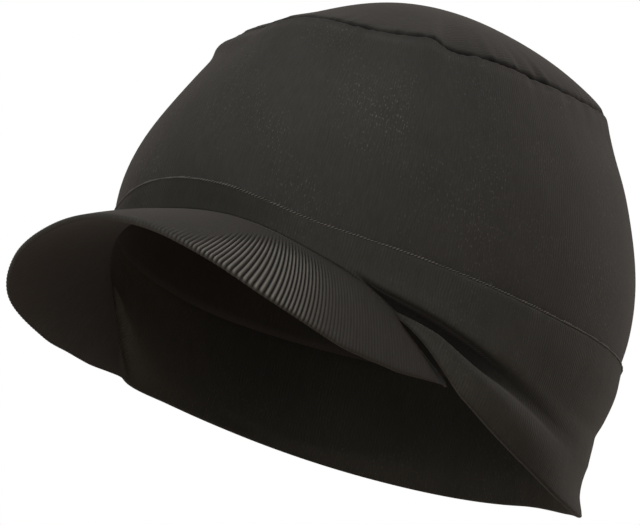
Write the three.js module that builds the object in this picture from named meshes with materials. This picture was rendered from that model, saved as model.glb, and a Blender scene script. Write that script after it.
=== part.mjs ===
// A skull cap of fine rib jersey with a short down-curved visor, shown as it is worn.
// Millimetres and degrees. The cap is modelled about its own band plane and then pitched back
// as it sits on the head: +Z is the wearer's up, -Y the way the wearer faces, +X their left.
// A direction round the head is 0 at the front, +90 on the left side and 180 at the nape.
import * as THREE from 'three';

// Head opening, an oval measured on the outside of the cloth at the top edge of the band.
const headHalfLength = 103;
const headHalfWidth = 83;
const wearPitch = 21.6;

// Cloth.
const crownCloth = 1.6;
const bandCloth = 2.4;
const insideRest = 0.8;
const rimRound = 0.7;
const sewnGap = 0.3;

// Crown: a side panel that leans in to an oval seam, and a domed top panel inside that seam.
const seamHalfLength = 78.6;
const seamHalfWidth = 55.9;
const seamHeight = 80.2;
const seamShift = -1.8;
const seamTilt = 8.66;
const wallSwell = 1.059;
const wallShoulder = 30;
const shoulderTilt = 0.4;
const domeRise = 25.5;
const domeFullness = 1.82;
const domeLean = 1.4; // it stands fuller towards the back left than at the front
const domeLeanTo = 150;
const domeLeanPeak = 0.105; // the greatest value of share cubed times one less share

// The seam wavers: how far it is lifted by the cloth gathered along it, round the head.
const seamRows = [
  { at: -180, lift: -0.8 },
  { at: -90, lift: 0.6 },
  { at: -50, lift: 0.8 },
  { at: -28, lift: -0.5 },
  { at: -14, lift: -1.1 },
  { at: -6, lift: -0.8 },
  { at: 2, lift: 1.2 },
  { at: 10, lift: 2.6 },
  { at: 20, lift: 2.5 },
  { at: 28, lift: 1.5 },
  { at: 38, lift: 0.5 },
  { at: 46, lift: 1 },
  { at: 54, lift: 1.8 },
  { at: 58, lift: -0.5 },
  { at: 62, lift: -1.2 },
  { at: 74, lift: -0.5 },
  { at: 90, lift: -1.9 },
  { at: 110, lift: -2 },
  { at: 140, lift: 0.4 },
  { at: 180, lift: -0.8 },
];

// Dents and swells of the worn crown: where they lie round it and up its side panel, how far
// they spread, and how far they stand out.
const crownDents = [
  { at: -34, rise: 0.93, spread: 22, reach: 0.05, out: 2.4 },
  { at: -44, rise: 0.66, spread: 30, reach: 0.22, out: -2.2 },
  { at: 138, rise: 0.3, spread: 34, reach: 0.22, out: 0.6 },
  { at: 128, rise: 0.88, spread: 26, reach: 0.1, out: -1 },
];

// Visor: how far round it is sewn on, and its edge measured out from the band.
const visorEnd = 72;
const visorTurn = 0.93;
const visorThickness = 3.2;
const visorEdgeThickness = 2.1;
const visorCamber = 0.02;
const ribPitch = 1;
const ribDepth = 0.55;
const ribStart = 0.12;

// Where the normals beside a seam are taken, as a share of the way to it.
const nearSeam = 0.98;

// How finely the pieces are divided.
const wallColumns = 60;
const wallRows = 7;
const domeRings = 5;
const bandColumns = 104;

// Heights are above the band plane, the same on both sides of the head.
const bandTopRows = [
  { at: 0, height: 0 },
  { at: 14, height: -1.4 },
  { at: 24, height: -4.4 },
  { at: 35, height: -7.8 },
  { at: 46, height: -9 },
  { at: 70, height: -9 },
  { at: 91, height: -7.9 },
  { at: 110, height: -5.2 },
  { at: 128, height: -2.6 },
  { at: 148, height: -0.4 },
  { at: 180, height: 0.3 },
];

// The band's lower edge: the visor's sewing line to 72 degrees, then the free rim, which is
// pulled lower on the wearer's left than on the right.
const bandLowRows = [
  { at: 0, left: -11.3, right: -11.3 },
  { at: 16, left: -11.7, right: -11.7 },
  { at: 27, left: -14.1, right: -14.1 },
  { at: 37, left: -18.1, right: -18.1 },
  { at: 47, left: -22.6, right: -22.6 },
  { at: 54, left: -27.3, right: -27.3 },
  { at: 63, left: -35.4, right: -35.4 },
  { at: 72, left: -45.7, right: -45.7 },
  { at: 76, left: -49.6, right: -47.9 },
  { at: 88, left: -56.2, right: -47.4 },
  { at: 102, left: -60.9, right: -46.9 },
  { at: 114, left: -62.5, right: -46.7 },
  { at: 130, left: -60.2, right: -46.5 },
  { at: 156, left: -51.2, right: -46.2 },
  { at: 180, left: -46, right: -46 },
];

// The tuck in the side of the band: its line, how deep it is, how far it has closed to a sharp
// fold, how far the roll below it stands out and hangs over the visor, how far the band bulges
// under its top edge, and how the waist and rim lie.
const sideFoldRows = [
  { at: 0, tuck: -10.1, deep: 0, shut: 0, roll: 0, hang: 0, bulge: 0.2, waist: 0, flare: 0 },
  { at: 36, tuck: -16.6, deep: 0, shut: 0, roll: 0, hang: 0, bulge: 0.2, waist: 0, flare: 0 },
  { at: 47, tuck: -21.4, deep: 0.2, shut: 0.1, roll: 0, hang: 0, bulge: 0.4, waist: 0.3, flare: 0 },
  { at: 52, tuck: -24.5, deep: 3.4, shut: 1, roll: 0.3, hang: 0, bulge: 0.8, waist: 1.4, flare: 0 },
  { at: 58, tuck: -26.4, deep: 5.4, shut: 1, roll: 1.5, hang: 0.9, bulge: 1.1, waist: 2.3, flare: 0 },
  { at: 66, tuck: -28.4, deep: 6, shut: 1, roll: 2.6, hang: 2.2, bulge: 1.3, waist: 2.7, flare: 0 },
  { at: 77, tuck: -32, deep: 5.4, shut: 1, roll: 3.1, hang: 2, bulge: 1.4, waist: 2.4, flare: 0.3 },
  { at: 84, tuck: -34.2, deep: 3.8, shut: 0.5, roll: 2.7, hang: 1.3, bulge: 1.3, waist: 1.5, flare: 0.4 },
  { at: 92, tuck: -36.6, deep: 2.2, shut: 0, roll: 1.6, hang: 0.5, bulge: 1.1, waist: 0.3, flare: 0.4 },
  { at: 106, tuck: -39.6, deep: 0.8, shut: 0, roll: -0.4, hang: 0, bulge: 0.8, waist: -1, flare: -0.2 },
  { at: 124, tuck: -38, deep: 0, shut: 0, roll: -2.9, hang: 0, bulge: 0.4, waist: -2.4, flare: -0.9 },
  { at: 145, tuck: -32, deep: 0, shut: 0, roll: -3.8, hang: 0, bulge: 0.2, waist: -3.2, flare: -1 },
  { at: 180, tuck: -26, deep: 0, shut: 0, roll: -2, hang: 0, bulge: 0.2, waist: -1.6, flare: 0 },
];
const tuckOpening = 4.3;
const tuckedIn = 0.5; // how far each millimetre of the tuck's depth is felt on the inside

// The visor's outer edge: how far it reaches out from the oval, and its height.
const visorEdgeRows = [
  { at: 0, reach: 31.3, height: -25.5 },
  { at: 12, reach: 31.9, height: -28.2 },
  { at: 24, reach: 32.8, height: -35.5 },
  { at: 36, reach: 28.6, height: -44.4 },
  { at: 48, reach: 15.2, height: -49.7 },
  { at: 60, reach: 5.1, height: -49.7 },
  { at: 68, reach: 1.9, height: -48 },
  { at: 72, reach: 0.8, height: -47.4 },
];

const clothColours = {
  crown: 0x373533,
  top: 0x363430,
  band: 0x2e2e2a,
  visor: 0x3a3833,
};

const sine = (degrees) => Math.sin(THREE.MathUtils.degToRad(degrees));
const cosine = (degrees) => Math.cos(THREE.MathUtils.degToRad(degrees));
const smooth = THREE.MathUtils.smoothstep;

// A smooth value between the rows of a table, with the slope of each row's neighbours.
function readRows(rows, column, at) {
  const last = rows.length - 1;
  const place = THREE.MathUtils.clamp(at, rows[0].at, rows[last].at);
  let row = 0;
  while (row < last - 1 && rows[row + 1].at < place) row += 1;
  const slope = (index) => {
    if (index === 0 || index === last) return 0;
    const run = rows[index + 1].at - rows[index - 1].at;
    return (rows[index + 1][column] - rows[index - 1][column]) / run;
  };
  const step = rows[row + 1].at - rows[row].at;
  const t = (place - rows[row].at) / step;
  const start = rows[row][column] * (1 + 2 * t) * (1 - t) ** 2 + slope(row) * step * t * (1 - t) ** 2;
  const end = rows[row + 1][column] * t * t * (3 - 2 * t) + slope(row + 1) * step * t * t * (t - 1);
  return start + end;
}

// Directions run from -180 to 180, so a table that holds for both sides is read by size.
const bandTop = (around) => readRows(bandTopRows, 'height', Math.abs(around));
const bandLow = (around) => readRows(bandLowRows, around < 0 ? 'right' : 'left', Math.abs(around));
const sideFold = (around, column) => readRows(sideFoldRows, column, Math.abs(around));

// A point on the head oval, moved out along the oval's normal.
function ovalPoint(around, height, out = 0) {
  const normal = new THREE.Vector2(sine(around) / headHalfWidth, -cosine(around) / headHalfLength);
  normal.setLength(out);
  return new THREE.Vector3(
    headHalfWidth * sine(around) + normal.x,
    -headHalfLength * cosine(around) + normal.y,
    height,
  );
}

function seamPoint(around) {
  return new THREE.Vector3(
    seamHalfWidth * sine(around),
    seamShift - seamHalfLength * cosine(around) * cosine(seamTilt),
    seamHeight - seamHalfLength * cosine(around) * sine(seamTilt) + readRows(seamRows, 'lift', around),
  );
}

// The crown's side panel from the band, at rise 0, to the seam, at rise 1.
function wallPoint(around, rise) {
  const shoulder = ovalPoint(around, 0).multiplyScalar(wallSwell);
  shoulder.y += seamShift / 2;
  shoulder.z = wallShoulder - shoulderTilt * headHalfLength * cosine(around) * sine(seamTilt);
  const line = new THREE.QuadraticBezierCurve3(
    ovalPoint(around, bandTop(around) + sewnGap / 2),
    shoulder,
    seamPoint(around),
  );
  return line.getPoint(rise).add(ovalPoint(around, 0, dentAt(around, rise)).sub(ovalPoint(around, 0)));
}

// How far the dents move the side panel out, fading to nothing at both of its sewn edges.
function dentAt(around, rise) {
  const sewn = smooth(rise, 0, 0.15) * (1 - smooth(rise, 0.94, 1));
  return crownDents.reduce((total, dent) => {
    const turn = (THREE.MathUtils.euclideanModulo(around - dent.at + 180, 360) - 180) / dent.spread;
    const lift = (rise - dent.rise) / dent.reach;
    return total + sewn * dent.out * Math.exp(-(turn ** 2) - lift ** 2);
  }, 0);
}

// The crown's top panel from the middle, at share 0, to the seam, at share 1.
function domePoint(around, share) {
  const middle = new THREE.Vector3(0, seamShift, seamHeight);
  const up = new THREE.Vector3(0, -sine(seamTilt), cosine(seamTilt));
  const fuller = domeLean * cosine(around - domeLeanTo) * share ** 3 * (1 - share) / domeLeanPeak;
  const rise = domeRise * (1 - share ** domeFullness) + fuller;
  const point = seamPoint(around).sub(middle).multiplyScalar(share).add(middle);
  point.z -= readRows(seamRows, 'lift', around) * share * (1 - share ** 3);
  return point.addScaledVector(up, rise);
}

// The outward normal of a surface given by direction and a second measure.
function surfaceNormal(surface, around, along, upward) {
  const nudge = 0.01;
  const sideways = surface(around + 1, along).sub(surface(around - 1, along));
  const rising = surface(around, along + nudge * upward).sub(surface(around, along - nudge * upward));
  return sideways.cross(rising).normalize();
}

const wallNormal = (around, rise) => surfaceNormal(wallPoint, around, rise, 1);
const domeNormal = (around, share) => surfaceNormal(domePoint, around, share, -1);
const seamMitre = (around) => wallNormal(around, nearSeam).add(domeNormal(around, nearSeam)).normalize();

// A closed solid from one closed section outline at each direction. The sections either meet
// round the head or are closed by a cap at each end.
function sectionSolid(sections, meets) {
  const size = sections[0].length;
  const positions = sections.flat().flatMap((point) => point.toArray());
  const faces = [];
  const count = meets ? sections.length : sections.length - 1;
  for (let column = 0; column < count; column += 1) {
    const next = (column + 1) % sections.length;
    for (let point = 0; point < size; point += 1) {
      const after = (point + 1) % size;
      const a = column * size + point;
      const b = next * size + point;
      const c = next * size + after;
      const d = column * size + after;
      faces.push(a, b, c, a, c, d);
    }
  }
  if (!meets) {
    const lastStart = (sections.length - 1) * size;
    for (let point = 1; point < size - 1; point += 1) {
      faces.push(0, point, point + 1);
      faces.push(lastStart, lastStart + point + 1, lastStart + point);
    }
  }
  return closedGeometry(positions, faces);
}

function closedGeometry(positions, faces) {
  const geometry = new THREE.BufferGeometry();
  geometry.setAttribute('position', new THREE.Float32BufferAttribute(positions, 3));
  geometry.setIndex(faces);
  geometry.computeVertexNormals();
  return geometry;
}

function directions(count) {
  return Array.from({ length: count }, (_, index) => -180 + (360 * index) / count);
}

// Side panel: up the outside from the band to the seam, and down the inside.
function crownWallGeometry() {
  const sections = directions(wallColumns).map((around) => {
    const outside = [];
    const inside = [];
    for (let row = 0; row <= wallRows; row += 1) {
      const rise = row / wallRows;
      const point = wallPoint(around, rise);
      let outward = wallNormal(around, Math.max(rise, 1 - nearSeam));
      if (row === 0) outward.setZ(0).normalize();
      if (row === wallRows) {
        const toSeam = wallPoint(around, 1).sub(wallPoint(around, nearSeam));
        point.sub(toSeam.setLength(sewnGap / 2));
        outward = seamMitre(around);
      }
      outside.push(point);
      inside.push(point.clone().addScaledVector(outward, -crownCloth));
    }
    return [...outside, ...inside.reverse()];
  });
  return sectionSolid(sections, true);
}

// Top panel: one shell of rings with a middle point above and below.
function crownTopGeometry() {
  const ringOf = (share, below) => directions(wallColumns).map((around) => {
    const point = domePoint(around, share);
    const atSeam = share === 1;
    if (atSeam) {
      const fromSeam = domePoint(around, nearSeam).sub(domePoint(around, 1));
      point.add(fromSeam.setLength(sewnGap / 2));
    }
    const normal = atSeam ? seamMitre(around) : domeNormal(around, share);
    return below ? point.addScaledVector(normal, -crownCloth) : point;
  });
  const shares = Array.from({ length: domeRings }, (_, ring) => (ring + 1) / domeRings);
  const rings = [
    ...shares.map((share) => ringOf(share, false)),
    ...shares.map((share) => ringOf(share, true)).reverse(),
  ];
  const top = domePoint(0, 0);
  const under = top.clone().addScaledVector(domeNormal(0, 1 - nearSeam), -crownCloth);
  const positions = [top, ...rings.flat(), under].flatMap((point) => point.toArray());
  const faces = [];
  const underMiddle = 1 + rings.length * wallColumns;
  for (let column = 0; column < wallColumns; column += 1) {
    const next = (column + 1) % wallColumns;
    faces.push(0, 1 + column, 1 + next);
    for (let ring = 0; ring < rings.length - 1; ring += 1) {
      const a = 1 + ring * wallColumns + column;
      const b = 1 + ring * wallColumns + next;
      faces.push(a, a + wallColumns, b + wallColumns, a, b + wallColumns, b);
    }
    const lastRing = 1 + (rings.length - 1) * wallColumns;
    faces.push(lastRing + column, underMiddle, lastRing + next);
  }
  return closedGeometry(positions, faces);
}

// Band: a folded top edge, a bulge under it, the tuck with its roll, and a rim that flares.
// Each pair is a height and how far the cloth stands out there. The tuck's corners lie between
// those of a soft hollow and those of a sharp fold, and the cloth it takes up is felt inside.
function bandSection(around) {
  const top = bandTop(around) - sewnGap / 2;
  const low = bandLow(around);
  const tuck = Math.max(sideFold(around, 'tuck'), low + 1.2);
  const deep = Math.max(sideFold(around, 'deep'), 0);
  const shut = THREE.MathUtils.clamp(sideFold(around, 'shut'), 0, 1);
  const roll = sideFold(around, 'roll');
  const bulge = 1 + sideFold(around, 'bulge');
  const waist = 1 + sideFold(around, 'waist');
  const hem = 1 + sideFold(around, 'flare') + Math.max(sideFold(around, 'hang'), 0);
  const upper = top - tuck;
  const lower = tuck - low;
  const crest = Math.max(Math.min(tuckOpening, lower - 0.9), 0.3 * lower);
  const below = lower - crest;
  const fold = (hollow, sharp) => hollow.map((value, index) => (
    THREE.MathUtils.lerp(value, sharp[index], shut)
  ));
  const smoothInside = (out) => Math.min(insideRest, out) - bandCloth;
  const outside = [
    [top, 0.4],
    [top - 0.07 * upper, bulge - 0.1],
    [top - 0.28 * upper, bulge],
    [top - 0.62 * upper, (bulge + waist) / 2],
    fold([tuck + 0.16 * upper, waist], [tuck + 2.5, waist]),
    fold([tuck + 0.05 * upper, waist - 0.35 * deep], [tuck + 0.5, waist - 0.7]),
    fold([tuck, waist - deep], [tuck - 0.3 * crest, waist - deep]),
    fold([tuck - 0.07 * lower, waist - 0.75 * deep], [tuck - 0.9 * crest, waist - 0.85 * deep]),
    fold([tuck - 0.2 * lower, 1 + 0.7 * roll], [tuck - crest, 1 + 0.6 * roll]),
    fold([tuck - 0.42 * lower, 1 + roll], [tuck - crest - 0.2 * below, 1 + 0.96 * roll]),
    fold([tuck - 0.66 * lower, 0.9 + 0.8 * roll], [tuck - crest - 0.55 * below, 0.9 + 0.85 * roll]),
    [low + 0.06 * lower, hem],
    [low, hem - rimRound],
  ];
  const inside = [
    [low, hem + rimRound - bandCloth],
    [low + 0.55 * lower, smoothInside(1 + roll) - tuckedIn * deep],
    [tuck, smoothInside(waist) - tuckedIn * deep],
    [top - 0.4 * upper, smoothInside(bulge)],
    [top, smoothInside(bulge)],
  ];
  return [...outside, ...inside].map(([height, out]) => ovalPoint(around, height, out)).reverse();
}

// Visor: a bent sheet with ribs across its top face and a plain under face.
function visorSection(around, ridge) {
  const side = Math.abs(around);
  const root = ovalPoint(around, bandLow(around) - sewnGap, 0.5);
  const reach = readRows(visorEdgeRows, 'reach', side);
  const edge = ovalPoint(around, readRows(visorEdgeRows, 'height', side));
  edge.x += reach * sine(visorTurn * around);
  edge.y -= reach * cosine(visorTurn * around);
  const chord = edge.clone().sub(root);
  const sideways = ovalPoint(around + 1, bandLow(around + 1)).sub(ovalPoint(around - 1, bandLow(around - 1)));
  const up = chord.clone().cross(sideways).normalize();
  const length = chord.length();
  const full = smooth(length, -6, 22);
  const thick = visorThickness * full;
  const edgeThick = visorEdgeThickness * full;
  const edgeRound = (0.4 * thick) / length;
  const rib = (ridge ? 0.5 : -0.5) * ribDepth * smooth(length, 2, 14);
  const top = (share, lift) => root.clone().addScaledVector(chord, share).addScaledVector(
    up,
    4 * visorCamber * length * share * (1 - share) + lift,
  );
  return [
    top(0, 0),
    top(ribStart, 0),
    top(0.5, rib),
    top(1 - edgeRound, rib),
    top(1, -edgeThick / 2),
    top(1 - edgeRound, -edgeThick),
    top(0.5, -thick),
    top(0, -thick),
  ].reverse();
}

function visorGeometry() {
  const steps = Math.round((4 * visorEnd) / ribPitch);
  const sections = Array.from({ length: steps + 1 }, (_, index) => {
    const around = -visorEnd + (2 * visorEnd * index) / steps;
    return visorSection(around, index % 2 === 1);
  });
  return sectionSolid(sections, false);
}

function clothMesh(name, geometry, colour, roughness) {
  const material = new THREE.MeshStandardMaterial({ color: colour, roughness, metalness: 0 });
  const mesh = new THREE.Mesh(geometry, material);
  mesh.name = name;
  return mesh;
}

const cap = new THREE.Group();
cap.add(clothMesh('crown_wall', crownWallGeometry(), clothColours.crown, 0.9));
cap.add(clothMesh('crown_top', crownTopGeometry(), clothColours.top, 0.9));
cap.add(clothMesh(
  'band',
  sectionSolid(directions(bandColumns).map(bandSection), true),
  clothColours.band,
  0.88,
));
cap.add(clothMesh('brim', visorGeometry(), clothColours.visor, 0.85));
cap.rotation.x = -THREE.MathUtils.degToRad(wearPitch);

export default cap;
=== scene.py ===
import math
from functools import lru_cache

import bmesh
import bpy
from mathutils import Matrix, Vector, noise


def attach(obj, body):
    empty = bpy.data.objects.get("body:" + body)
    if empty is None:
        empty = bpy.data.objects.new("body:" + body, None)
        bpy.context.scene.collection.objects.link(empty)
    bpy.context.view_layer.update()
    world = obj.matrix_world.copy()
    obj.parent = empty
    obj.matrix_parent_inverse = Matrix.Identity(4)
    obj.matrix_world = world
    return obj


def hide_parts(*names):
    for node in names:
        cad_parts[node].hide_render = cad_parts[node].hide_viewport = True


# A visored skull cap of fine rib jersey, in the form that it has when it is worn.
# Sizes are millimetres in the cap's own frame, which is pitched back at the end: x to its left, y
# to the back, z up from the band. A direction round the cap is 0 at the front, 90 on the left and
# 180 at the nape.

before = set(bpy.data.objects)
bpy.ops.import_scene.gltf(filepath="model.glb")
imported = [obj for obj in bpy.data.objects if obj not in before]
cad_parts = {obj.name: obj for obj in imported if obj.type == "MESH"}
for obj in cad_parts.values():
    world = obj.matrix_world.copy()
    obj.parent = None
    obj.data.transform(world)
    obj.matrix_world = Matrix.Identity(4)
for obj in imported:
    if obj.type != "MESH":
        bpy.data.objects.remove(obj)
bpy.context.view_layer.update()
print("frame loaded with", ", ".join(sorted(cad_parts)))

headForm = {
    "halfLength": 103,       # of the band's oval
    "halfWidth": 83,
    "wearPitch": 21.6,
    "seamHalfLength": 78.6,
    "seamHalfWidth": 55.9,
    "seamHeight": 80.2,
    "seamShift": -1.8,
    "seamTilt": 8.66,
    "sewnGap": 0.3,
    "sewnIn": 1.2,           # how far the crown reaches into the band that it is sewn to
    "sewnUnder": 0.25,
}


def tableOf(names, *rows):
    return [dict(zip(names.split(), row)) for row in rows]


# How far the crown seam is lifted by the cloth gathered along it.
seamRows = tableOf(
    "at lift",
    (-180, -0.8), (-90, 0.6), (-50, 0.8), (-28, -0.5), (-14, -1.1), (-6, -0.8), (2, 1.2),
    (10, 2.6), (20, 2.5), (28, 1.5), (38, 0.5), (46, 1), (54, 1.8), (58, -0.5), (62, -1.2),
    (74, -0.5), (90, -1.9), (110, -2), (140, 0.4), (180, -0.8),
)

bandTopRows = tableOf(
    "at height",
    (0, 0), (14, -1.4), (24, -4.4), (35, -7.8), (46, -9), (70, -9),
    (91, -7.9), (110, -5.2), (128, -2.6), (148, -0.4), (180, 0.3),
)

# The visor's sewing line to 72 degrees, then the free rim.
bandLowRows = tableOf(
    "at left right",
    (0, -11.3, -11.3), (16, -11.7, -11.7), (27, -14.1, -14.1), (37, -18.1, -18.1),
    (47, -22.6, -22.6), (54, -27.3, -27.3), (63, -35.4, -35.4), (72, -45.7, -45.7),
    (76, -49.6, -47.9), (88, -56.2, -47.4), (102, -60.9, -46.9), (114, -62.5, -46.7),
    (130, -60.2, -46.5), (156, -51.2, -46.2), (180, -46, -46),
)


def sine(degrees):
    return math.sin(math.radians(degrees))


def cosine(degrees):
    return math.cos(math.radians(degrees))


def ease(value, low, high):
    share = min(max((value - low) / (high - low), 0), 1)
    return share * share * (3 - 2 * share)


def blend(start, end, share):
    return start + (end - start) * share


def readRows(rows, column, at):
    # a smooth value between the rows, with the slope of each row's neighbours
    last = len(rows) - 1
    place = min(max(at, rows[0]["at"]), rows[last]["at"])
    row = 0
    while row < last - 1 and rows[row + 1]["at"] < place:
        row += 1

    def slope(index):
        if index in (0, last):
            return 0
        run = rows[index + 1]["at"] - rows[index - 1]["at"]
        return (rows[index + 1][column] - rows[index - 1][column]) / run

    step = rows[row + 1]["at"] - rows[row]["at"]
    t = (place - rows[row]["at"]) / step
    start = rows[row][column] * (1 + 2 * t) * (1 - t) ** 2
    start += slope(row) * step * t * (1 - t) ** 2
    end = rows[row + 1][column] * t * t * (3 - 2 * t)
    end += slope(row + 1) * step * t * t * (t - 1)
    return start + end


@lru_cache(maxsize=None)
def bandTop(around):
    return readRows(bandTopRows, "height", abs(around))


def bandLow(around):
    return readRows(bandLowRows, "right" if around < 0 else "left", abs(around))


@lru_cache(maxsize=None)
def ovalPoint(around, height, out=0):
    # a point of the band's oval, moved out along the oval's normal
    normal = Vector((
        sine(around) / headForm["halfWidth"],
        -cosine(around) / headForm["halfLength"],
        0,
    )).normalized()
    place = Vector((
        headForm["halfWidth"] * sine(around),
        -headForm["halfLength"] * cosine(around),
        height,
    ))
    return place + normal * out


def wander(around, count, seed):
    # an even random wave that meets itself round the cap, with about count humps in all
    reach = count / 6
    return noise.noise(Vector((reach * sine(around), reach * cosine(around), seed)))


def smoothLoop(corners, steps):
    # a closed line through the corners, steps points for each of them
    line = []
    count = len(corners)
    for index in range(count):
        before, here, after, beyond = (corners[(index + k) % count] for k in (-1, 0, 1, 2))
        run = (after - here).length
        leave = (after - before) * (run / (run + (here - before).length))
        arrive = (beyond - here) * (run / (run + (beyond - after).length))
        for step in range(steps):
            t = step / steps
            point = here * (2 * t ** 3 - 3 * t ** 2 + 1) + leave * (t ** 3 - 2 * t ** 2 + t)
            line.append(point + after * (3 * t ** 2 - 2 * t ** 3) + arrive * (t ** 3 - t ** 2))
    return line


def gridCells(columns, rows):
    # lays a new grid's points on whole numbers, so that they count its columns and rows
    return Matrix.Translation((columns / 2, rows / 2, 0)) @ Matrix.Diagonal((columns / 2, rows / 2, 1, 1))


def clothTube(columns, start, turn, sectionOf, insideOf, toneOf):
    # Rolls a grid into a tube of cloth: each of its columns is laid on the closed section there.
    # The UV map holds millimetres across and along the knit's wales. The tone is 0.5 on plain
    # cloth, less under painted shade where it is sunk, and more under painted light where it is lit.
    meets = turn == 360
    places = [start + turn * column / columns for column in range(columns + 1)]
    sections = [sectionOf(around) for around in places[:-1]]
    sections.append(sections[0] if meets else sectionOf(places[-1]))
    size = len(sections[0])
    runs = []
    for section in sections:
        run = [0]
        for index in range(size):
            run.append(run[-1] + (section[(index + 1) % size] - section[index]).length)
        runs.append(run)

    bm = bmesh.new()
    bmesh.ops.create_grid(bm, x_segments=columns, y_segments=size, size=1, matrix=gridCells(columns, size))
    knit = bm.loops.layers.uv.new("knit")
    for face in bm.faces:
        face.smooth = True
        face.material_index = int(insideOf(face.calc_center_median().y))
        for loop in face.loops:
            column, row = round(loop.vert.co.x), round(loop.vert.co.y)
            loop[knit].uv = (ovalRun(places[column]), runs[column][row])
    tone = bm.verts.layers.float.new("tone")
    for vert in bm.verts:
        column, row = round(vert.co.x), round(vert.co.y) % size
        vert[tone] = toneOf(places[column], row)
        vert.co = sections[column][row]
    bmesh.ops.remove_doubles(bm, verts=bm.verts[:], dist=0.00001)
    if not meets:
        bmesh.ops.holes_fill(bm, edges=[edge for edge in bm.edges if edge.is_boundary], sides=0)
    bmesh.ops.recalc_face_normals(bm, faces=bm.faces[:])
    return bm


def ovalRun(around):
    # millimetres round the band's oval, near enough for laying knit
    return around / 360 * math.pi * (headForm["halfLength"] + headForm["halfWidth"])


def finishPiece(name, bm, materials, node=None):
    worn = Matrix.Rotation(math.radians(-headForm["wearPitch"]), 4, "X") @ Matrix.Scale(0.001, 4)
    bmesh.ops.transform(bm, matrix=worn, verts=bm.verts)
    mesh = bpy.data.meshes.new(name)
    bm.to_mesh(mesh)
    bm.free()
    piece = bpy.data.objects.new(name, mesh)
    bpy.context.scene.collection.objects.link(piece)
    for material in materials:
        mesh.materials.append(material)
    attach(piece, "root")
    if node:
        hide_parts(node)
    print(name, "made with", len(mesh.polygons), "faces")
    return piece


# Shared effect: jersey knit in wales and courses, with lint and uneven dye.
def knitGroup():
    group = bpy.data.node_groups.new("jerseyKnit", "ShaderNodeTree")
    face = group.interface
    face.new_socket("Place", in_out="INPUT", socket_type="NodeSocketVector")
    sockets = (("Wale", 1.25), ("Course", 0.9), ("Rib Depth", 1), ("Stitch Depth", 0.4), ("Lint", 0.5))
    for name, value in sockets:
        face.new_socket(name, in_out="INPUT", socket_type="NodeSocketFloat").default_value = value
    for name in ("Height", "Shade", "Lint"):
        face.new_socket(name, in_out="OUTPUT", socket_type="NodeSocketFloat")
    nodes, links = group.nodes, group.links
    given = nodes.new("NodeGroupInput")
    made = nodes.new("NodeGroupOutput")

    def work(operation, first, second=None, third=None):
        node = nodes.new("ShaderNodeMath")
        node.operation = operation
        for socket, value in zip(node.inputs, (first, second, third)):
            if isinstance(value, (int, float)):
                socket.default_value = value
            elif value is not None:
                links.new(value, socket)
        return node.outputs[0]

    def grain(scale, detail, stretch=(1, 1, 1)):
        mapping = nodes.new("ShaderNodeMapping")
        mapping.inputs["Scale"].default_value = stretch
        links.new(given.outputs["Place"], mapping.inputs["Vector"])
        texture = nodes.new("ShaderNodeTexNoise")
        texture.inputs["Scale"].default_value = scale
        texture.inputs["Detail"].default_value = detail
        links.new(mapping.outputs[0], texture.inputs["Vector"])
        return texture.outputs["Fac"]

    def between(value, low, high):
        # 0 below low and 1 above high
        share = work("DIVIDE", work("SUBTRACT", value, low), high - low)
        return work("MINIMUM", work("MAXIMUM", share, 0), 1)

    parts = nodes.new("ShaderNodeSeparateXYZ")
    links.new(given.outputs["Place"], parts.inputs[0])
    drift = work("MULTIPLY", work("SUBTRACT", grain(0.12, 2), 0.5), 2.2)
    across = work("DIVIDE", work("ADD", parts.outputs["X"], drift), given.outputs["Wale"])
    along = work("DIVIDE", parts.outputs["Y"], given.outputs["Course"])
    side = work("MULTIPLY", work("PINGPONG", across, 0.5), 2)      # 0 in a furrow, 1 on a wale
    wale = work("SINE", work("MULTIPLY", side, math.pi / 2))
    worn = between(grain(0.16, 3, (1, 0.3, 1)), 0.36, 0.62)        # where the wales still stand up
    slant = work("ADD", along, work("MULTIPLY", side, -0.8))
    stitch = work("ABSOLUTE", work("SINE", work("MULTIPLY", slant, math.pi)))
    ribs = work("MULTIPLY", work("MULTIPLY", wale, worn), given.outputs["Rib Depth"])
    loops = work("MULTIPLY", work("MULTIPLY", stitch, wale), given.outputs["Stitch Depth"])
    fuzz = work("MULTIPLY", grain(1.7, 3, (1, 0.45, 1)), 0.9)
    links.new(work("ADD", work("ADD", ribs, loops), fuzz), made.inputs["Height"])

    dye = work("MULTIPLY", grain(0.05, 3), 0.4)
    streaks = work("MULTIPLY", grain(1.1, 2, (1, 0.16, 1)), 0.6)
    links.new(work("ADD", dye, streaks), made.inputs["Shade"])

    speck = between(grain(0.8, 2, (2.6, 0.8, 1)), 0.6, 0.72)
    patch = work("ADD", between(grain(0.03, 2), 0.43, 0.64), 0.12)
    links.new(work("MULTIPLY", work("MULTIPLY", speck, patch), given.outputs["Lint"]), made.inputs["Lint"])
    return group


jerseyKnit = knitGroup()


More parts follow.
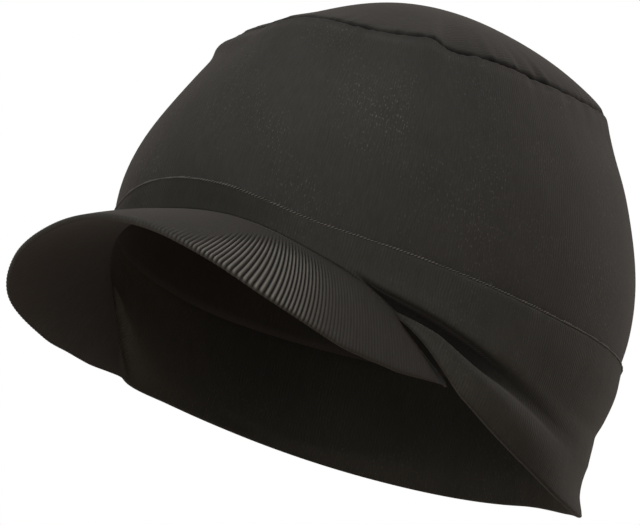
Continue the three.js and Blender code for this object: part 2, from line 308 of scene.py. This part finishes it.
def jersey(name, finish):
    material = bpy.data.materials.new(name)
    material.use_nodes = True
    nodes, links = material.node_tree.nodes, material.node_tree.links
    cloth = nodes["Principled BSDF"]
    cloth.inputs["Roughness"].default_value = finish["roughness"]
    cloth.inputs["Specular IOR Level"].default_value = finish["shine"]
    cloth.inputs["Sheen Weight"].default_value = finish["fuzz"]
    cloth.inputs["Sheen Roughness"].default_value = 0.45
    cloth.inputs["Sheen Tint"].default_value = (0.9, 0.82, 0.76, 1)

    place = nodes.new("ShaderNodeUVMap")
    place.uv_map = "knit"
    knit = nodes.new("ShaderNodeGroup")
    knit.node_tree = jerseyKnit
    links.new(place.outputs["UV"], knit.inputs["Place"])
    for socket in ("Wale", "Course", "Rib Depth", "Stitch Depth", "Lint"):
        knit.inputs[socket].default_value = finish[socket]

    dye = nodes.new("ShaderNodeValToRGB")
    dye.color_ramp.elements[0].position = 0.3
    dye.color_ramp.elements[0].color = finish["dark"]
    dye.color_ramp.elements[1].position = 0.7
    dye.color_ramp.elements[1].color = finish["light"]
    links.new(knit.outputs["Shade"], dye.inputs["Fac"])
    # painted light and shade on the knit: the colour is multiplied by its height, darker in the furrows
    # and paler on the raised loops
    furrow = nodes.new("ShaderNodeMix")
    furrow.data_type = "RGBA"
    furrow.blend_type = "MULTIPLY"
    furrow.inputs["Factor"].default_value = finish["furrow"]
    links.new(dye.outputs["Color"], furrow.inputs["A"])
    links.new(knit.outputs["Height"], furrow.inputs["B"])
    lint = nodes.new("ShaderNodeMix")
    lint.data_type = "RGBA"
    lint.inputs["B"].default_value = finish["lintColour"]
    links.new(knit.outputs["Lint"], lint.inputs["Factor"])
    links.new(furrow.outputs["Result"], lint.inputs["A"])
    # painted light and shade: the tone attribute scales the colour, paler above 0.5 and darker below
    tone = nodes.new("ShaderNodeAttribute")
    tone.attribute_name = "tone"
    stops = nodes.new("ShaderNodeMath")
    stops.operation = "MULTIPLY_ADD"
    stops.inputs[1].default_value = 5
    stops.inputs[2].default_value = -2.5
    links.new(tone.outputs["Fac"], stops.inputs[0])
    factor = nodes.new("ShaderNodeMath")
    factor.operation = "POWER"
    factor.inputs[0].default_value = 2
    links.new(stops.outputs[0], factor.inputs[1])
    toned = nodes.new("ShaderNodeVectorMath")
    toned.operation = "SCALE"
    links.new(lint.outputs["Result"], toned.inputs[0])
    links.new(factor.outputs[0], toned.inputs["Scale"])
    links.new(toned.outputs["Vector"], cloth.inputs["Base Color"])

    bump = nodes.new("ShaderNodeBump")
    bump.inputs["Strength"].default_value = finish["relief"]
    bump.inputs["Distance"].default_value = 0.0003
    links.new(knit.outputs["Height"], bump.inputs["Height"])
    links.new(bump.outputs["Normal"], cloth.inputs["Normal"])
    return material


jerseyFinish = {
    "roughness": 0.9,
    "shine": 0.18,
    "fuzz": 0.09,
    "dark": (0.033, 0.0328, 0.0302, 1),
    "light": (0.0445, 0.044, 0.0408, 1),
    "lintColour": (0.19, 0.187, 0.176, 1),
    # how strongly the knit's painted shade and light follow its height
    "furrow": 0.12,
    "relief": 0.3,
    "Wale": 1.1,
    "Course": 0.9,
    "Rib Depth": 0.5,
    "Stitch Depth": 0.35,
    "Lint": 0.42,
}
reverseFinish = dict(jerseyFinish, Wale=0.95, Course=1.25, Lint=0.1)
# The top panel's jersey is the crown's made darker: painted shade that tones down the light falling on the
# top.
topFinish = dict(
    jerseyFinish, Lint=0.15,
    dark=(0.028, 0.0276, 0.0249, 1), light=(0.0375, 0.0369, 0.0335, 1),
)
bandFinish = dict(
    jerseyFinish, Wale=1.05, Lint=0.2, relief=0.5, furrow=0.25,
    dark=(0.027, 0.028, 0.0235, 1), light=(0.037, 0.037, 0.0325, 1),
)
bandReverseFinish = dict(bandFinish, Wale=1.2)
visorFinish = dict(
    jerseyFinish, Wale=0.5, Course=0.8, Lint=0.2, relief=0.25, furrow=0.15,
    dark=(0.029, 0.0283, 0.0255, 1), light=(0.038, 0.0368, 0.0332, 1),
)
visorUnderFinish = dict(jerseyFinish, Lint=0.1, relief=0.3)


# Crown side panel
crownWall = {
    "columns": 300,
    "outsideRows": 60,
    "rowsCrowd": 1.8,        # the rows lie closer together towards the seam
    "insideRows": 22,
    "swell": 1.059,
    "shoulder": 30,
    "shoulderTilt": 0.4,
    "cloth": 1.6,
    "seamRoll": 1.2,         # radius at which the cloth turns into the seam
    "allowance": 0.9,        # the folded seam allowance inside, and how far it reaches down
    "allowanceReach": 6,
    "length": 88,
    "pucker": 0.8,
    "puckerReach": 5.5,
    "slack": 0.35,           # soft unevenness of the worn cloth
    "plainTone": 0.475,
    "paintedLightTone": 0.06,      # a pool of painted light on the crown's front left: by how much, where, and how far it spreads
    "paintedLightAt": 34,
    "paintedLightSpread": 26,
    "paintedLightRise": 0.68,
    "paintedLightReach": 0.3,
}

# The crown seam's painted shade and painted light, with places and widths in millimetres from it.
seamShade = {
    "dark": 0.26,
    "darkReach": 0.8,
    "light": 0.05,
    "lightAt": 3.2,
    "lightReach": 1.6,
}

# Dents and swells: where they lie, how far they spread and how far they stand out.
crownDents = tableOf(
    "at rise spread reach out",
    (-34, 0.93, 22, 0.05, 2.4),
    (-44, 0.66, 30, 0.22, -2.2),
    (138, 0.3, 34, 0.22, 0.6),
    (128, 0.88, 26, 0.1, -1),
)


@lru_cache(maxsize=None)
def seamPoint(around):
    form = headForm
    return Vector((
        form["seamHalfWidth"] * sine(around),
        form["seamShift"] - form["seamHalfLength"] * cosine(around) * cosine(form["seamTilt"]),
        form["seamHeight"] - form["seamHalfLength"] * cosine(around) * sine(form["seamTilt"])
        + readRows(seamRows, "lift", around),
    ))


def dentAt(around, rise):
    sewn = ease(rise, 0, 0.15) * (1 - ease(rise, 0.94, 1))
    total = 0
    for dent in crownDents:
        turn = ((around - dent["at"] + 180) % 360 - 180) / dent["spread"]
        lift = (rise - dent["rise"]) / dent["reach"]
        total += sewn * dent["out"] * math.exp(-turn ** 2 - lift ** 2)
    return total


def wallPoint(around, rise):
    # rise 0 is at the band and 1 at the seam
    low = ovalPoint(around, bandTop(around) - headForm["sewnIn"], -headForm["sewnUnder"])
    shoulder = ovalPoint(around, 0) * crownWall["swell"]
    shoulder.y += headForm["seamShift"] / 2
    shoulder.z = crownWall["shoulder"] - crownWall["shoulderTilt"] * headForm["halfLength"] * (
        cosine(around) * sine(headForm["seamTilt"])
    )
    line = low * (1 - rise) ** 2 + shoulder * 2 * rise * (1 - rise) + seamPoint(around) * rise ** 2
    return line + ovalPoint(around, 0, dentAt(around, rise)) - ovalPoint(around, 0)


def surfaceNormal(surface, around, along, upward):
    nudge = 0.01 * upward
    sideways = surface(around + 1, along) - surface(around - 1, along)
    rising = surface(around, along + nudge) - surface(around, along - nudge)
    return sideways.cross(rising).normalized()


def puckerAt(around, gap, side):
    # the seam gathers the cloth in small uneven waves, more on the left
    grip = 0.55 + 0.45 * ease(around, 15, 45) * (1 - ease(around, 80, 120))
    wave = wander(around, 150, 3.5 + side) + 0.6 * wander(around, 330, 8.1 + side)
    return crownWall["pucker"] * grip * wave * math.exp(-gap / crownWall["puckerReach"])


def seamTone(around, gap):
    # painted shade, dark in the sewing line's groove, and painted light, a little lighter beside it where
    # the cloth turns to the light
    shade = seamShade
    shown = 0.3 + 0.7 * ease(around, 5, 20)
    lit = shade["light"] * (1 + 0.8 * wander(around, 120, 5.5))
    dark = shade["dark"] * shown * (0.75 + 0.8 * wander(around, 60, 2.2))
    lit *= math.exp(-((gap - shade["lightAt"]) / shade["lightReach"]) ** 2)
    return lit - dark * math.exp(-(gap / shade["darkReach"]) ** 2)


def rollIn(gap, radius):
    # how far a cloth edge has turned down at this distance from its seam
    if gap >= radius:
        return 0
    return radius - math.sqrt(max(radius ** 2 - (radius - gap) ** 2, 0))


def outsideRise(row):
    return 1 - (1 - row / crownWall["outsideRows"]) ** crownWall["rowsCrowd"]


def crownWallSection(around):
    values = crownWall
    outside = []
    for row in range(values["outsideRows"] + 1):
        rise = outsideRise(row)
        gap = (1 - rise) * values["length"]
        normal = surfaceNormal(wallPoint, around, min(max(rise, 0.02), 0.98), 1)
        lift = puckerAt(around, gap, 0) - rollIn(gap, values["seamRoll"])
        lift += values["slack"] * ease(rise, 0, 0.2) * (
            noise.noise(Vector((1.6 * sine(around), 1.6 * cosine(around), 3.1 * rise)))
        )
        outside.append(wallPoint(around, rise) + normal * lift)
    inside = []
    reach = values["allowanceReach"]
    for row in range(values["insideRows"] + 1):
        rise = 1 - row / values["insideRows"]
        gap = (1 - rise) * values["length"]
        normal = surfaceNormal(wallPoint, around, min(max(rise, 0.02), 0.98), 1)
        folded = values["allowance"] * (1 - ease(gap, reach - 1.5, reach))
        inside.append(wallPoint(around, rise) - normal * (values["cloth"] + folded))
    return outside + inside


def makeCrownWall():
    values = crownWall
    outsideSize = values["outsideRows"] + 1

    def toneOf(around, row):
        if row >= outsideSize:
            return 0.5
        rise = outsideRise(row)
        # painted light: a paler pool where the light falls on the crown's front left
        turn = (around - values["paintedLightAt"]) / values["paintedLightSpread"]
        lift = (rise - values["paintedLightRise"]) / values["paintedLightReach"]
        paintedLight = values["paintedLightTone"] * math.exp(-turn ** 2 - lift ** 2)
        return values["plainTone"] + paintedLight + seamTone(around, (1 - rise) * values["length"])

    bm = clothTube(values["columns"], -180, 360, crownWallSection, lambda row: row > outsideSize, toneOf)
    materials = [jersey("crownJersey", jerseyFinish), jersey("crownReverse", reverseFinish)]
    finishPiece("crownWall", bm, materials, "crown_wall")


# Crown top panel
crownTop = {
    "columns": 300,
    "outsideRows": 44,
    "rowsCrowd": 1.6,
    "insideRows": 16,
    "domeRise": 25.5,
    "fullness": 1.82,
    "lean": 1.4,           # the dome stands fuller towards the back left than at the front
    "leanTo": 150,
    "cloth": 1.6,
    "seamRoll": 1.4,
    "halfSpan": 68,
    "puff": 0.5,          # how the top panel stands up beside the seam, and over what width
    "puffReach": 5,
    "slack": 0.3,
    "paintedShadeBy": 0.13,       # painted shade: one side of it is darker, where less light falls
    "paintedShadeAt": 105,
    "paintedShadeSpread": 45,
}


def domePoint(around, share):
    # share 0 is the middle and 1 the seam
    form = headForm
    middle = Vector((0, form["seamShift"], form["seamHeight"]))
    up = Vector((0, -sine(form["seamTilt"]), cosine(form["seamTilt"])))
    point = middle + (seamPoint(around) - middle) * share
    point.z -= readRows(seamRows, "lift", around) * share * (1 - share ** 3)
    hump = share ** 3 * (1 - share) / 0.105        # 1 at its highest
    fuller = crownTop["lean"] * cosine(around - crownTop["leanTo"]) * hump
    return point + up * (crownTop["domeRise"] * (1 - share ** crownTop["fullness"]) + fuller)


def domeLift(around, share):
    values = crownTop
    gap = (1 - share) * values["halfSpan"]
    near = gap / values["puffReach"]
    lift = puckerAt(around, gap, 20) + values["puff"] * near * math.exp(1 - near)
    lift -= rollIn(gap, values["seamRoll"])
    place = domePoint(around, share) / 30
    return lift + values["slack"] * noise.noise(place) * (1 - share ** 4)


def makeCrownTop():
    # a grid gathered to the middle on both faces, out to the seam above and back underneath
    values = crownTop
    outer, inner = values["outsideRows"], values["insideRows"]
    shares = [1 - (1 - row / outer) ** values["rowsCrowd"] for row in range(outer + 1)]
    shares += [1 - row / inner for row in range(inner + 1)]
    columns, rows = values["columns"], len(shares) - 1
    bm = bmesh.new()
    bmesh.ops.create_grid(bm, x_segments=columns, y_segments=rows, size=1, matrix=gridCells(columns, rows))
    for face in bm.faces:
        face.smooth = True
        face.material_index = int(face.calc_center_median().y > outer + 1)
    tone = bm.verts.layers.float.new("tone")
    for vert in bm.verts:
        around = round(vert.co.x) % columns * 360 / columns - 180
        share = shares[round(vert.co.y)]
        outside = round(vert.co.y) <= outer
        # painted shade on one side of the top, with the seam's painted shade and light
        turn = (around - values["paintedShadeAt"]) / values["paintedShadeSpread"]
        shade = seamTone(around, (1 - share) * values["halfSpan"])
        shade -= values["paintedShadeBy"] * math.exp(-turn ** 2) * share ** 2
        vert[tone] = 0.5 + outside * shade
        if share == 0:
            normal = Vector((0, -sine(headForm["seamTilt"]), cosine(headForm["seamTilt"])))
        else:
            normal = surfaceNormal(domePoint, around, min(max(share, 0.02), 0.98), -1)
        lift = domeLift(around, share) if outside else -values["cloth"]
        vert.co = domePoint(around, share) + normal * lift
    bmesh.ops.remove_doubles(bm, verts=bm.verts[:], dist=0.001)
    bmesh.ops.recalc_face_normals(bm, faces=bm.faces[:])
    knit = bm.loops.layers.uv.new("knit")
    for face in bm.faces:
        for loop in face.loops:
            loop[knit].uv = (loop.vert.co.x, loop.vert.co.y)
    materials = [jersey("topJersey", topFinish), jersey("topReverse", reverseFinish)]
    finishPiece("crownTop", bm, materials, "crown_top")


# Folded band
band = {
    "columns": 400,
    "steps": 4,
    "cloth": 2.4,
    "insideRest": 0.8,
    "lip": 0.35,             # the sewn top edge: how far it stands up over the crown cloth
    "opening": 3.4,          # how wide the tuck stands open
    "tuckedIn": 0.5,         # how far the folded cloth is felt on the inside, for each mm of tuck
    "slack": 0.3,
    "outsideCorners": 24,    # the corners of its section that show outside
}

# The band's tone, plain and where a part of it is darker or paler: painted shade darkens some parts and
# painted highlights lighten others.
bandShade = {
    "plain": 0.52,
    # painted shade in the tuck's hollow
    "tuck": -0.33,
    # painted highlight on the sewn top edge, where it catches the light from above
    "lip": 0.09,
    "face": 0.05,            # painted highlight on the front of the roll under the tuck
    # darker across the front, and painted shade on its right-hand front, from about -62 to -4 degrees
    "front": -0.13,
    # painted shade where the cloth turns under at the rim
    "rim": -0.12,
    # painted shade on the side towards the nape, at about 106 degrees
    "back": -0.08,
}

# The side folds: how high the tuck lies, how deep and how shut it is, and how far the cloth stands
# out in the roll, the hanging hem, the bulge above, the waist at the tuck and the flare below.
sideFoldRows = tableOf(
    "at tuck deep shut roll hang bulge waist flare",
    (0, -10.1, 0, 0, 0, 0, 0.2, 0, -0.2),
    (36, -16.6, 0, 0, 0, 0, 0.2, 0, -0.2),
    (47, -21.4, 0.2, 0.1, 0, 0, 0.4, 0.3, -0.5),
    (52, -24.5, 3.6, 1, -1.2, 0, 0.8, 1.4, -1.3),
    (57, -26.1, 5.4, 1, -1.2, 0, 1.1, 2.2, -1.4),
    (61, -27.1, 6, 1, 1.4, 1.2, 1.2, 2.5, -0.2),
    (66, -28.4, 6.2, 1, 2.6, 2.2, 1.3, 2.7, 0),
    (77, -32, 5, 0.85, 3.1, 1.4, 1.4, 2.3, 0),
    (84, -34.2, 3.4, 0.3, 2.8, 0.5, 1.3, 1.5, -0.4),
    (92, -36.6, 2, 0, 1.9, 0, 1.1, 0.3, -0.7),
    (106, -39.6, 0.8, 0, -0.2, 0, 0.8, -1, -0.9),
    (124, -38, 0, 0, -2.9, 0, 0.4, -2.4, -0.9),
    (145, -32, 0, 0, -3.8, 0, 0.2, -3.2, -1),
    (180, -26, 0, 0, -2, 0, 0.2, -1.6, 0),
)


def sideFold(around, column):
    return readRows(sideFoldRows, column, abs(around))


def bandSection(around):
    values = band
    top = bandTop(around) - headForm["sewnGap"] / 2
    low = bandLow(around)
    tuck = max(sideFold(around, "tuck"), low + 1.2)
    deep = max(sideFold(around, "deep"), 0)
    shut = min(max(sideFold(around, "shut"), 0), 1)
    roll = sideFold(around, "roll")
    bulge = 1 + sideFold(around, "bulge")
    waist = 1 + sideFold(around, "waist")
    flare = 1 + sideFold(around, "flare")
    hem = flare + max(sideFold(around, "hang"), 0)
    upper = top - tuck
    lower = tuck - low
    crest = max(min(values["opening"], lower - 0.5), 0.3 * lower)
    below = lower - crest
    rim = min(0.9, 0.4 * below)

    rising = waist - 0.65 * deep
    softLip = blend(rising, 1 + roll, 0.6)

    def fold(flat, full):
        # a corner of the tuck between its place in a soft hollow and in the full fold
        return tuple(blend(a, b, shut) for a, b in zip(flat, full))

    def behind(out):
        return min(values["insideRest"], out) - values["cloth"]

    lip = values["lip"]
    corners = [
        (top, -0.9),
        (top + 0.05, -0.3),
        (top + 0.5 * lip, 0.1),
        (top + lip, 0.4),
        (top + 0.7 * lip, 0.8),
        (top - 0.4, 1.05),
        (top - 1.3, 0.5 * (1 + bulge)),
        (top - 0.28 * upper - 1, bulge),
        (top - 0.62 * upper, (bulge + waist) / 2),
        fold((tuck + 0.2 * upper, waist), (tuck + 4.2, waist)),
        fold((tuck + 0.11 * upper, waist - 0.15 * deep), (tuck + 2, waist + 0.1)),
        fold((tuck + 0.05 * upper, waist - 0.4 * deep), (tuck + 0.75, waist - 0.45)),
        fold((tuck, waist - 0.7 * deep), (tuck + 0.35, waist - 1.5)),
        fold((tuck - 0.04 * lower, waist - 0.92 * deep), (tuck + 0.4, waist - 0.8 * deep)),
        fold((tuck - 0.08 * lower, waist - deep), (tuck - 0.1 * crest, waist - 1.05 * deep)),
        fold((tuck - 0.14 * lower, waist - 0.92 * deep), (tuck - 0.6 * crest, waist - 1.05 * deep)),
        fold((tuck - 0.21 * lower, rising), (tuck - 0.97 * crest, waist - 0.8 * deep)),
        fold((tuck - 0.32 * lower, softLip), (tuck - crest - 0.02 * below, 1 + 0.35 * roll)),
        fold((tuck - 0.5 * lower, 1 + roll), (tuck - crest - 0.25 * below, 1 + 0.95 * roll)),
        fold((tuck - 0.7 * lower, 0.9 + 0.85 * roll), (tuck - crest - 0.55 * below, 0.9 + 0.85 * roll)),
        (low + rim, hem),
        (low + 0.2 * rim, hem - 0.4),
        (low, hem - 1.2),
        (low + 0.2 * rim, hem - 2),
        (low + rim, hem - values["cloth"]),
        (low + 0.55 * lower, behind(1 + roll) - values["tuckedIn"] * deep),
        (tuck, behind(waist) - values["tuckedIn"] * deep),
        (top - 0.4 * upper, behind(bulge)),
        (top - 0.8, behind(bulge)),
    ]
    line = smoothLoop([Vector(corner) for corner in corners], values["steps"])
    section = []
    for height, out in line:
        free = ease(top - height, 3, 12) * ease(height - low, 0, 6)
        spread = Vector((2.2 * sine(around), 2.2 * cosine(around), height / 22))
        section.append(ovalPoint(around, height, out + values["slack"] * free * noise.noise(spread)))
    return section


def makeBand():
    values = band
    steps = values["steps"]

    def toneOf(around, row):
        # each part's share of the tone, by the corner of the section and the place round the cap
        side, corner = abs(around), row / steps
        deep = min(max(sideFold(around, "deep"), 0) / 5, 1)
        # the tuck, rim and back shares lay painted shade, the lip and face shares painted highlights
        shares = {
            "plain": 1,
            "tuck": ease(corner, 10, 11.5) * (1 - ease(corner, 15.5, 17)) * deep,
            "lip": math.exp(-((corner - 4) / 0.9) ** 2) * (1 + wander(around, 90, 2.5)),
            "face": ease(corner, 17.5, 19) * ease(side, 56, 62) * (1 - ease(side, 72, 86)),
            "front": 1 - ease(side, 14, 38) + ease(around, -62, -34) * (1 - ease(around, -18, -4)),
            "rim": math.exp(-((corner - 21.5) / 1.4) ** 2) * ease(side, 66, 82),
            "back": math.exp(-((side - 106) / 16) ** 2),
        }
        return sum(bandShade[part] * share for part, share in shares.items())

    lastOutside = values["outsideCorners"] * steps
    bm = clothTube(values["columns"], -180, 360, bandSection, lambda row: row > lastOutside, toneOf)
    materials = [jersey("bandRib", bandFinish), jersey("bandReverse", bandReverseFinish)]
    finishPiece("bandFold", bm, materials, "band")


# The overlock's loops of thread, which show as a row of pale dots along the band's top edge.
bandStitch = {
    "arcs": 16,
    "pitch": 1.25,
    "length": 1.7,
    "width": 0.66,
    "slant": 26,
    "straySlant": 18,
    "strayHeight": 0.12,
    "straySize": 0.7,
    "out": 1.1,              # from the band's oval
    "colour": (0.09, 0.088, 0.081, 1),
}


def threadMaterial(name, colour):
    material = bpy.data.materials.new(name)
    material.use_nodes = True
    thread = material.node_tree.nodes["Principled BSDF"]
    thread.inputs["Base Color"].default_value = colour
    thread.inputs["Roughness"].default_value = 0.7
    thread.inputs["Specular IOR Level"].default_value = 0.25
    return material


def makeBandStitches():
    values = bandStitch
    whole = bmesh.new()
    perArc = round(2 * ovalRun(180) / values["pitch"] / values["arcs"])
    count = perArc * values["arcs"]
    for arc in range(values["arcs"]):
        bm = bmesh.new()
        for index in range(arc * perArc, (arc + 1) * perArc):
            around = 360 * index / count - 180
            stray = noise.noise(Vector((index * 0.73, 4.5, 0)))
            height = bandTop(around) + values["strayHeight"] * stray
            place = ovalPoint(around, height, values["out"])
            outward = (place - ovalPoint(around, height)).normalized()
            slant = math.radians(values["slant"] + values["straySlant"] * stray)
            size = 1 + values["straySize"] * noise.noise(Vector((index * 0.41, 9.5, 0)))
            lay = Matrix.Translation(place) @ outward.to_track_quat("Z", "Y").to_matrix().to_4x4()
            width = values["width"] * size
            shape = Matrix.Rotation(slant, 4, "Z") @ Matrix.Diagonal((values["length"], width, width, 1))
            bmesh.ops.create_uvsphere(bm, u_segments=6, v_segments=4, radius=0.5, matrix=lay @ shape)
        part = bpy.data.meshes.new("stitches")
        bm.to_mesh(part)
        bm.free()
        whole.from_mesh(part)
        bpy.data.meshes.remove(part)
    for face in whole.faces:
        face.smooth = True
    finishPiece("bandStitches", whole, [threadMaterial("bandThread", values["colour"])])


# Visor
visor = {
    "end": 72,
    "turn": 0.93,            # how far its ribs fan out, for each degree round the band
    "thickness": 3.2,
    "edgeThickness": 2.1,
    "camber": 0.02,
    "sewnUp": 0.45,          # how far its sewn edge reaches up behind the band's fold
    "sunkReach": 3.2,        # how far the visor dips in beside the band's roll
    "ribPitch": 0.72,        # degrees at its sewn edge
    "ribColumns": 8,
    "ribDepth": 1.1,
    "ribSwing": 1.6,         # how far the ribs bow outwards at half their length
    "topRows": 22,
    "edgeRows": 8,
    "underRows": 10,
    "rimPaintedLight": 0.1,          # painted light on the under face at the rim, and painted shade towards the band
    "rootPaintedShade": 0.11,
}

# The visor's edge: how far out from the band it lies, how high, and how far the cloth dips at
# the band there.
visorEdgeRows = tableOf(
    "at reach height sunk",
    (0, 31.3, -25.5, 0), (12, 31.9, -28.2, 0), (24, 32.8, -35.5, 0), (36, 28.6, -44.4, 0),
    (48, 15.2, -49.7, 0), (54, 9, -49.9, 0), (57, 7, -49.8, 0.2), (61, 4.6, -49.6, 1.8),
    (68, 1.9, -48, 2.1), (72, 0.8, -47.4, 1.6),
)

# How far the ribs lean outwards on their way to the edge, where on it they begin to show, and
# how deep they are.
visorRibRows = tableOf(
    "at lean start depth",
    (0, 0, 0.9, 0.1), (12, 0.8, 0.88, 0.2), (18, 1.6, 0.82, 0.6), (20, 1.8, 0.7, 0.8),
    (22, 2, 0.45, 1), (25, 2.3, 0.26, 1), (28, 3.2, 0.12, 1), (32, 4.5, 0.05, 1),
    (36, 4.5, 0.05, 0.85), (38, 4.5, 0.05, 0.65), (41, 4.5, 0.05, 0.3), (44, 4.4, 0.05, 0.2),
    (50, 4, 0.05, 0.12), (60, 3, 0.05, 0.1), (72, 0, 0.05, 0.1),
)


def visorEdge(around):
    side = abs(around)
    reach = readRows(visorEdgeRows, "reach", side)
    turned = visor["turn"] * around
    outward = Vector((sine(turned), -cosine(turned), 0))
    return ovalPoint(around, readRows(visorEdgeRows, "height", side)) + outward * reach


def ribCrest(around):
    # 1 on a rib and 0 in the furrow beside it
    return abs(math.cos(math.pi * around / visor["ribPitch"])) ** 0.8


def visorSection(around):
    values = visor
    side = abs(around)
    lean = math.copysign(readRows(visorRibRows, "lean", side), around)
    start = readRows(visorRibRows, "start", side)
    sunk = readRows(visorEdgeRows, "sunk", side)
    sewn = values["sewnUp"] * (1 - ease(side, 48, 58))
    root = ovalPoint(around, bandLow(around) + sewn, 0)
    chord = visorEdge(around + lean) - root
    sideways = ovalPoint(around + 1, bandLow(around + 1)) - ovalPoint(around - 1, bandLow(around - 1))
    up = chord.cross(sideways).normalized()
    length = chord.length
    scale = ease(length, -6, 22)
    thick = values["thickness"] * scale
    nose = values["edgeThickness"] * scale / 2
    depth = values["ribDepth"] * ease(length, 2, 14) * readRows(visorRibRows, "depth", side)
    shown = depth * (ribCrest(around) - 0.7)

    def arch(share):
        return 4 * values["camber"] * length * share * (1 - share)

    def topAt(share):
        dip = sunk * math.exp(-(share * length / values["sunkReach"]) ** 2)
        return arch(share) + shown * ease(share, start - 0.04, start + 0.16) - dip

    line = []
    for row in range(values["topRows"] + 1):
        share = row / values["topRows"]
        run = share * (length - nose)
        line.append((run, topAt(run / length)))
    for row in range(1, values["edgeRows"]):
        bend = 180 * row / values["edgeRows"]
        reach = nose + shown * (1 - row / values["edgeRows"])
        line.append((length - nose + reach * sine(bend), -nose + reach * cosine(bend)))
    for row in range(values["underRows"] + 1):
        run = (1 - row / values["underRows"]) * (length - nose)
        taper = ease(run / length, 0.35, 1)
        line.append((run, -blend(thick, 2 * nose, taper) + arch(run / length)))
    along = sideways.normalized() * math.copysign(1, around)
    swing = values["ribSwing"] * ease(side, 8, 24) * (1 - ease(side, 38, 54))
    section = []
    for run, lift in line:
        share = min(max(run / length, 0), 1)
        section.append(root + chord / length * run + up * lift + along * 4 * swing * share * (1 - share))
    return section


def makeVisor():
    values = visor
    ribs = 2 * round(values["end"] / values["ribPitch"])
    topSize = values["topRows"] + values["edgeRows"] - 1

    def toneOf(around, row):
        # the ribs' crests catch the light and the furrows between them stay dark
        side = abs(around)
        share = row / values["topRows"]
        start = readRows(visorRibRows, "start", side)
        length = (visorEdge(around) - ovalPoint(around, bandLow(around))).length
        shown = ease(share, start - 0.02, start + 0.3) * (1 - ease(share, 1.05, 1.25))
        depth = min(readRows(visorRibRows, "depth", side), 1) * ease(length, 2, 14)
        tone = 0.5 + (ribCrest(around) - 0.5) * shown * depth
        # painted light at the under face's rim and painted shade towards the band
        if row > topSize:
            under = min((row - topSize) / values["underRows"], 1)
            tone += values["rimPaintedLight"] * (1 - under) ** 3 - values["rootPaintedShade"] * under
        return tone

    columns, end = ribs * values["ribColumns"], values["end"]
    bm = clothTube(columns, -end, 2 * end, visorSection, lambda row: row > topSize, toneOf)
    materials = [jersey("visorRib", visorFinish), jersey("visorUnder", visorUnderFinish)]
    finishPiece("visorCloth", bm, materials, "brim")


makeCrownWall()
makeCrownTop()
makeBand()
makeBandStitches()
makeVisor()


# Floor, light and camera
studio = {
    "floorHeight": -0.26,
    "floorRadius": 0.9,
    "skyFrom": -0.3,         # the sky brightens between these heights of its direction
    "skyTo": 1,
    "skyAbove": (0.67, 0.67, 0.675, 1),
    "skyBelow": (0.26, 0.175, 0.128, 1),
    "aim": (-0.01322, -0.01276, 0.0094),
    "distance": 1.5,
    "azimuth": 44,
    "lens": 236.6,
}


lampRows = tableOf(
    "name place power size colour",
    ("keyLamp", (0.45, -1.25, 0.5), 7.6, 0.9, (1, 1, 0.97)),
    ("rimLamp", (0.2, 1.45, 0.05), 4.6, 0.6, (1, 0.97, 0.94)),
)


def makeFloor():
    bm = bmesh.new()
    lower = Matrix.Translation((0, 0, studio["floorHeight"]))
    bmesh.ops.create_circle(bm, cap_ends=True, segments=96, radius=studio["floorRadius"], matrix=lower)
    mesh = bpy.data.meshes.new("floor")
    bm.to_mesh(mesh)
    bm.free()
    floor = bpy.data.objects.new("floor", mesh)
    bpy.context.scene.collection.objects.link(floor)
    paint = bpy.data.materials.new("paleFloor")
    paint.use_nodes = True
    matt = paint.node_tree.nodes["Principled BSDF"]
    matt.inputs["Base Color"].default_value = (0.8, 0.8, 0.79, 1)
    matt.inputs["Roughness"].default_value = 0.9
    mesh.materials.append(paint)
    floor.visible_diffuse = False


def makeSky():
    world = bpy.data.worlds.new("studioSky")
    bpy.context.scene.world = world
    world.use_nodes = True
    nodes, links = world.node_tree.nodes, world.node_tree.links
    nodes.clear()
    out = nodes.new("ShaderNodeOutputWorld")
    direction = nodes.new("ShaderNodeTexCoord")
    parts = nodes.new("ShaderNodeSeparateXYZ")
    links.new(direction.outputs["Generated"], parts.inputs[0])
    level = nodes.new("ShaderNodeMapRange")
    level.inputs["From Min"].default_value = studio["skyFrom"]
    level.inputs["From Max"].default_value = studio["skyTo"]
    links.new(parts.outputs["Z"], level.inputs["Value"])
    colour = nodes.new("ShaderNodeMix")
    colour.data_type = "RGBA"
    colour.inputs["A"].default_value = studio["skyBelow"]
    colour.inputs["B"].default_value = studio["skyAbove"]
    links.new(level.outputs[0], colour.inputs["Factor"])
    lighting = nodes.new("ShaderNodeBackground")
    links.new(colour.outputs["Result"], lighting.inputs["Color"])
    backdrop = nodes.new("ShaderNodeBackground")
    path = nodes.new("ShaderNodeLightPath")
    mix = nodes.new("ShaderNodeMixShader")
    links.new(path.outputs["Is Camera Ray"], mix.inputs["Fac"])
    links.new(lighting.outputs[0], mix.inputs[1])
    links.new(backdrop.outputs[0], mix.inputs[2])
    links.new(mix.outputs[0], out.inputs["Surface"])
    backdrop.inputs["Color"].default_value = (1, 1, 1, 1)


def makeLamps():
    for row in lampRows:
        data = bpy.data.lights.new(row["name"], "AREA")
        data.shape = "DISK"
        data.size = row["size"]
        data.energy = row["power"]
        data.color = row["colour"]
        lamp = bpy.data.objects.new(row["name"], data)
        lamp.location = row["place"]
        lamp.rotation_euler = (-lamp.location).to_track_quat("-Z", "Y").to_euler()
        bpy.context.scene.collection.objects.link(lamp)


def makeCamera():
    data = bpy.data.cameras.new("camera")
    data.lens = studio["lens"]
    data.sensor_width = 36
    data.clip_start = 0.05
    camera = bpy.data.objects.new("camera", data)
    away = Vector((sine(studio["azimuth"]), -cosine(studio["azimuth"]), 0)) * studio["distance"]
    camera.location = Vector(studio["aim"]) + away
    camera.rotation_euler = (math.radians(90), 0, math.radians(studio["azimuth"]))
    bpy.context.scene.collection.objects.link(camera)
    bpy.context.scene.camera = camera


makeFloor()
makeSky()
makeLamps()
makeCamera()
bpy.context.scene.view_settings.view_transform = "Standard"
print("studio set")
